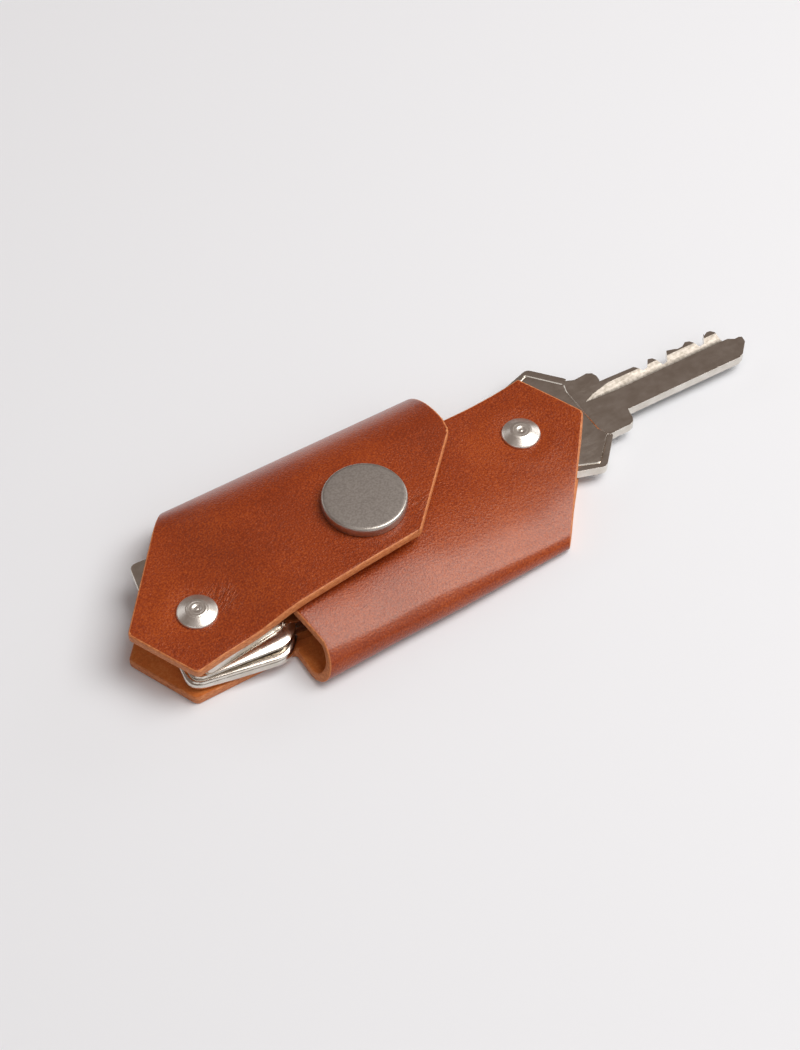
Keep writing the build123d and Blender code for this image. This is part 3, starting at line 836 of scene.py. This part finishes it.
def groove(side, face, lead, end):
    """Cutter for a milled groove: a steep wall near the middle and a hollow slope outwards.

    It runs out at its start, lead; side is the edge that it widens to, face the side of the blade it is in.
    """
    over = 1.0 * face                             # how far the cutter stands out of the blade
    sections = []
    for u, share in ((lead, 0.04), (lead + 2.2, 0.5), (lead + 6.5, 1.0), (end, 1.0)):
        start = lerp(1.3, 0.85, share)
        ring = [(start, over), (start, 0)]
        for v, deep in ((0.25, 0.8), (0.8, 0.78), (1.35, 0.6), (1.95, 0.33), (2.5, 0.0)):
            ring.append((start + v * share, -deep * share * face))
        ring.append((start + 2.5 * share, over))
        sections.append((u, [(v * side, z) for v, z in ring]))
    sides = len(sections[0][1])
    deselect()
    bpy.ops.mesh.primitive_grid_add(x_subdivisions=len(sections) - 1, y_subdivisions=sides, size=1)
    obj = bpy.context.object
    for v in obj.data.vertices:
        n, k = round((v.co.x + 0.5) * (len(sections) - 1)), round((v.co.y + 0.5) * sides)
        u, ring = sections[n]
        v.co = (u, *ring[k % sides])
    bpy.ops.object.mode_set(mode="EDIT")
    bpy.ops.mesh.select_all(action="SELECT")
    bpy.ops.mesh.remove_doubles(threshold=1e-4)
    bpy.ops.mesh.select_all(action="SELECT")
    bpy.ops.mesh.fill_holes(sides=0)
    bpy.ops.mesh.select_all(action="SELECT")
    bpy.ops.mesh.normals_make_consistent(inside=False)
    bpy.ops.object.mode_set(mode="OBJECT")
    return obj


def shift(obj, dy=0, dz=0):
    """Moves the mesh of a piece, whose object stays at the origin."""
    for v in obj.data.vertices:
        v.co.y += dy
        v.co.z += dz


def disc(radius, depth, y, z):
    """A round bar about the key's upright axis, for its boss or its hole."""
    deselect()
    bpy.ops.mesh.primitive_cylinder_add(vertices=64, radius=radius, depth=depth, location=(0, y, z))
    bpy.ops.object.transform_apply(location=True)
    return bpy.context.object


def drill_key(obj, y, thick):
    """The hole by which a key hangs on its post."""
    join_solid(obj, disc(KEY_HOLE_R, thick + 4, y, thick / 2), "DIFFERENCE")


def into_place(obj, node, name, body, pivot, turn, z0, smooth):
    """Turns and moves a key from its own millimetres to its place on the post."""
    take(obj)
    obj.name = name
    obj.data.transform(Matrix.Translation((pivot.x, pivot.y, z0)) @ Matrix.Rotation(radians(turn), 4, "Z")
                       @ Matrix.Scale(MM, 4))
    bpy.ops.object.mode_set(mode="EDIT")
    bpy.ops.mesh.select_all(action="SELECT")
    bpy.ops.mesh.normals_make_consistent(inside=False)
    bpy.ops.object.mode_set(mode="OBJECT")
    bpy.ops.object.shade_smooth_by_angle(angle=radians(smooth))
    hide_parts(node)
    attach(obj, body)
    return obj


# a key is made in its own millimetres: u along it from the hole, v across it
KEY_HOLE_R, KEY_BOSS_R = 2.6, 3.9
BLADE_HALF, SHOULDER, TIP = 4.45, 22.2, 53.2      # half height of the blade, and its two ends
KEY_OFFSET = 1.1                                  # the hole of the swung-out key is off its middle line


def mirrored(half):
    """The half outline, then its mirror image about the key's middle line."""
    return half + [(u, -v) for u, v in reversed(half)]


def blade_points(cuts):
    """Bitted edge from the shoulder to the tip, then back along the straight edge."""
    top = [(SHOULDER - 0.2, BLADE_HALF)] + cuts
    tip = [(TIP - 3.6, 1.3), (TIP - 1.6, 0.1), (TIP - 0.6, 0.15), (TIP, -0.15), (TIP - 0.2, -1.5),
           (TIP - 2.5, 0.5 - BLADE_HALF), (TIP - 3.6, -BLADE_HALF)]
    return top + tip + [(SHOULDER + 0.6, -BLADE_HALF)]


def cut_row(cuts):
    """Rounded bitting: (u, depth) valleys with crests between them."""
    out = []
    for u, depth in cuts:
        out += [(u - 1.9, BLADE_HALF - 0.25), (u - 1.25, BLADE_HALF - 0.55 * depth),
                (u - 0.6, BLADE_HALF - depth), (u + 0.6, BLADE_HALF - 0.9 * depth),
                (u + 1.2, BLADE_HALF - 0.4 * depth), (u + 1.7, BLADE_HALF)]
    last = TIP - 5.4
    return out + [(last - 0.9, BLADE_HALF - 0.5), (last, BLADE_HALF), (TIP - 4.6, BLADE_HALF - 0.1),
                  (TIP - 4.0, BLADE_HALF - 0.8)]


def swung_out_key():
    """Key with a six-sided bow, a line engraved round each side of it, lugs and a wide milled groove."""
    low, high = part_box("right_key")
    thick = (high.z - low.z) / MM
    bow = rounded([(-6.0, 8.9), (11.2, 14.4), (17.0, 8.0)], 1.0, 4)
    lug_up = [(17.9, 7.3), (19.0, 7.35), (20.9, 7.5), (21.9, 7.0), (22.3, 5.9), (22.2, 4.8)]
    lug_down = [(22.6, -5.2), (22.4, -6.6), (21.9, -7.5), (21.0, -7.9), (18.6, -7.9)]
    bow_down = rounded([(17.0, -8.0), (11.2, -14.4), (-6.0, -8.9)], 1.0, 4)
    cuts = [(31.8, 1.75), (36.3, 2.3), (40.8, 0.75), (45.3, 2.15)]
    outline = bow + lug_up + blade_points(cut_row(cuts)) + lug_down + bow_down
    key = prism("key", [(outline, 0), (outline, thick)])
    key.data.materials.append(key_metal)
    key.data.materials.append(milled)
    for side, z in ((1, thick), (-1, 0)):
        outer = rounded([(-3.0, 7.9), (10.3, 13.3), (15.6, 7.4), (15.0, 5.6), (15.1, -5.6), (16.2, -7.6),
                         (10.6, -13.2), (-3.0, -7.9)], 0.5, 3)
        inner = rounded([(-2.8, 7.6), (10.2, 12.9), (15.15, 7.3), (14.6, 5.5), (14.7, -5.5), (15.7, -7.5),
                         (10.5, -12.8), (-2.8, -7.6)], 0.5, 3)
        between = [((u0 + u1) / 2, (v0 + v1) / 2) for (u0, v0), (u1, v1) in zip(outer, inner)]
        line = prism("line", [(between, z - 0.17 * side), (outer, z + 0.01 * side), (outer, z + side)][::side])
        middle = [(between, z - 0.4 * side), (between, z - 0.16 * side), (inner, z + 0.02 * side),
                  (inner, z + 1.4 * side)]
        join_solid(line, prism("middle", middle[::side]), "DIFFERENCE")
        join_solid(key, line, "DIFFERENCE")
        cutter = groove(side, side, 16.8, TIP + 2)
        shift(cutter, dz=z)
        cutter.data.materials.append(key_metal)
        cutter.data.materials.append(milled)
        for face in cutter.data.polygons:
            face.material_index = 1
        join_solid(key, cutter, "DIFFERENCE")
    drill_key(key, -KEY_OFFSET, thick)
    soften(key, 0.12)
    shift(key, dy=KEY_OFFSET)
    return into_place(key, "right_key", "swung_out_key_piece", "swung_out_key", RIGHT_POST, -2.0, low.z, 19)


right_key = swung_out_key()


def shrunk(outline, middle_u, share_u, share_v):
    """The outline drawn in towards its middle."""
    return [((u - middle_u) * share_u + middle_u, v * share_v) for u, v in outline]


def folded_key(node, name, body, bow, corner, rim, turn, blade, offset, lugs, smooth=26):
    """A key folded into the wallet, with its blade and hole.

    The bow has a rolled rim of this width and a sunk middle, or with a rim of 0 it is pillowed.
    """
    low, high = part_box(node)
    thick = (high.z - low.z) / MM
    shape = rounded(bow, corner, 6)
    middle_u = sum(u for u, v in bow) / len(bow)
    if rim:
        key = prism("key", [(shape, 0), (shape, thick)])
        soften(key, min(rim, thick * 0.45), 4, 60)
        inner = rounded(shrunk(bow, middle_u, 0.76, 0.8), corner, 6)
        floor = shrunk(inner, middle_u, 0.93, 0.93)
        for side, z in ((1, thick), (-1, 0)):
            levels = [(floor, z - 0.5 * side), (inner, z), (inner, z + side)]
            join_solid(key, prism("sunk", levels if side > 0 else levels[::-1]), "DIFFERENCE")
    else:
        waist = thick / 2
        sizes = [(0.62, waist), (0.8, waist - 0.18), (0.92, waist - 0.42), (0.985, waist - 0.72),
                 (1.0, waist - 0.92)]
        below = [(shrunk(shape, middle_u, k, k), waist - h) for k, h in sizes]
        above = [(shrunk(shape, middle_u, k, k), waist + h) for k, h in sizes[::-1]]
        key = prism("key", below + above)
    stem = prism("blade", [(blade, 0.02), (blade, thick - 0.02)])
    join_solid(key, stem, "UNION")
    if lugs:
        plate = rounded(mirrored([(11.0, 7.6), (21.2, 7.6), (22.2, 6.4)]), 0.5, 3)
        join_solid(key, prism("lugs", [(plate, 0.05), (plate, thick - 0.05)]), "UNION")
    join_solid(key, disc(KEY_BOSS_R, thick - 0.1, -offset, thick / 2), "UNION")
    drill_key(key, -offset, thick)
    soften(key, 0.08)
    shift(key, dy=offset)
    return into_place(key, node, name, body, LEFT_POST, turn, low.z, smooth)


WIDE_BOW = mirrored([(-6.2, 10.6), (12.8, 11.9), (16.5, 7.6)])
MIDDLE_BOW = mirrored([(-5.9, 10.0), (12.6, 11.3), (16.3, 7.6)])
SMALL_BOW = [(-3.4, 14.9), (12.6, 12.2), (15.4, 6.6), (15.4, -7.0), (12.6, -12.2), (-4.6, -13.2),
             (-7.2, 1.5)]


def long_blade(cuts):
    """A blade that starts well inside the bow."""
    return [(14.0, BLADE_HALF)] + blade_points(cut_row(cuts)) + [(14.0, -BLADE_HALF)]


lower_blade = long_blade([(31.8, 1.6), (36.3, 2.4), (40.8, 1.2)])
middle_blade = long_blade([(31.8, 2.2), (36.3, 1.2), (40.8, 2.6)])
small_blade = [(13.0, 4.2), (18.4, 4.0), (19.8, 2.4), (21.0, 2.4), (22.0, 4.1), (24.1, 4.2), (25.8, 1.3),
               (29.5, 0.0), (29.3, -1.5), (27.0, -3.7), (25.9, -4.2), (13.0, -4.2)]
left_lower = folded_key("left_key_lower", "lower_left_key_piece", "lower_left_key", WIDE_BOW,
                        corner=3.2, rim=1.05, turn=-8.0, blade=lower_blade, offset=0.0, lugs=True)
left_middle = folded_key("left_key_middle", "middle_left_key_piece", "middle_left_key", MIDDLE_BOW,
                         corner=2.4, rim=0, turn=-3.0, blade=middle_blade, offset=0.0, lugs=True)
left_upper = folded_key("left_key_upper", "upper_left_key_piece", "upper_left_key", SMALL_BOW,
                        corner=1.5, rim=0.18, turn=4.0, blade=small_blade, offset=3.0, lugs=False, smooth=19)


# ------------------------------------------------------------------ finishes
FINISH = {
    "snap_socket": plated, "snap_stud": plated, "snap_eyelet": plated, "socket_spring": steel,
    "left_post_screw": turned, "right_post_screw": turned,
    "right_washer_lower": steel, "right_washer_upper": steel,
}
for node, material in FINISH.items():
    obj = frame["nodes"][node]
    obj.data.materials.clear()
    obj.data.materials.append(material)
for obj, material in ((left_head, turned), (right_head, turned), (left_lower, key_metal),
                      (left_middle, key_metal), (left_upper, key_metal)):
    obj.data.materials.clear()
    obj.data.materials.append(material)
button.data.materials.append(blasted)
button.data.materials.append(polished)
for face in button.data.polygons:
    out = face.center - cap_seat
    face.material_index = 1 if hypot(out.x, out.y) > CAP_FLAT_R * MM else 0


# ------------------------------------------------------------------ stage, light and camera
deselect()
bpy.ops.mesh.primitive_plane_add(size=4, location=(0, 0, -0.05 * MM))
floor = bpy.context.object
floor.name = "floor"
# matt uncoated paper: pale, with no shine
paper, _, paper_skin = new_material("pale grey backdrop paper")
paper_skin.inputs["Base Color"].default_value = linear("E8ECF2")
paper_skin.inputs["Roughness"].default_value = 0.9
floor.data.materials.append(paper)


def softbox(name, at, size, power, tint):
    """A rectangular lamp, aimed at the middle of the object."""
    lamp = bpy.data.lights.new(name, "AREA")
    lamp.shape = "RECTANGLE"
    lamp.size, lamp.size_y = size
    lamp.energy = power
    lamp.color = tint
    obj = bpy.data.objects.new(name, lamp)
    bpy.context.collection.objects.link(obj)
    obj.location = at
    obj.rotation_euler = (-Vector(at)).to_track_quat("-Z", "Y").to_euler()


WARM, COOL = (1, 0.97, 0.93), (0.97, 0.985, 1)    # tints of the lamps
softbox("main_light", (0.44, -0.2, 0.84), (0.55, 0.76), 8.5, WARM)
softbox("front_fill", (0.1, -1.1, 0.75), (1.3, 0.9), 2.6, COOL)
softbox("left_fill", (-0.75, -0.5, 0.95), (0.8, 0.5), 1.0, COOL)
softbox("back_fill", (-0.45, 1.0, 0.6), (0.7, 0.4), 0.8, COOL)
softbox("right_fill", (1.1, 0.25, 0.4), (0.5, 0.35), 1.0, COOL)

world = bpy.data.worlds.new("studio")
bpy.context.scene.world = world
world.use_nodes = True
world.node_tree.nodes["Background"].inputs["Color"].default_value = linear("80736C")
world.node_tree.nodes["Background"].inputs["Strength"].default_value = 0.93

# the camera looks down on the object from the front left, through a long lens
CAM_TURN, CAM_HEIGHT, CAM_ROLL = radians(32.42), radians(51.84), radians(-0.22)
CAM_RANGE, CAM_RIGHT, CAM_UP = 425.0 * MM, 6.49 * MM, 4.44 * MM
LENS = 77.4
right = Vector((cos(CAM_TURN), -sin(CAM_TURN), 0))
up = Vector((sin(CAM_HEIGHT) * sin(CAM_TURN), sin(CAM_HEIGHT) * cos(CAM_TURN), cos(CAM_HEIGHT)))
ahead = up.cross(right)
camera = bpy.data.objects.new("camera", bpy.data.cameras.new("camera"))
bpy.context.collection.objects.link(camera)
camera.data.lens = LENS
camera.data.clip_start = 0.01
turn = Matrix((right, up, -ahead)).transposed() @ Matrix.Rotation(CAM_ROLL, 3, "Z")
camera.matrix_world = Matrix.Translation(right * CAM_RIGHT + up * CAM_UP - ahead * CAM_RANGE) @ turn.to_4x4()
bpy.context.scene.camera = camera
bpy.context.scene.view_settings.view_transform = "Standard"
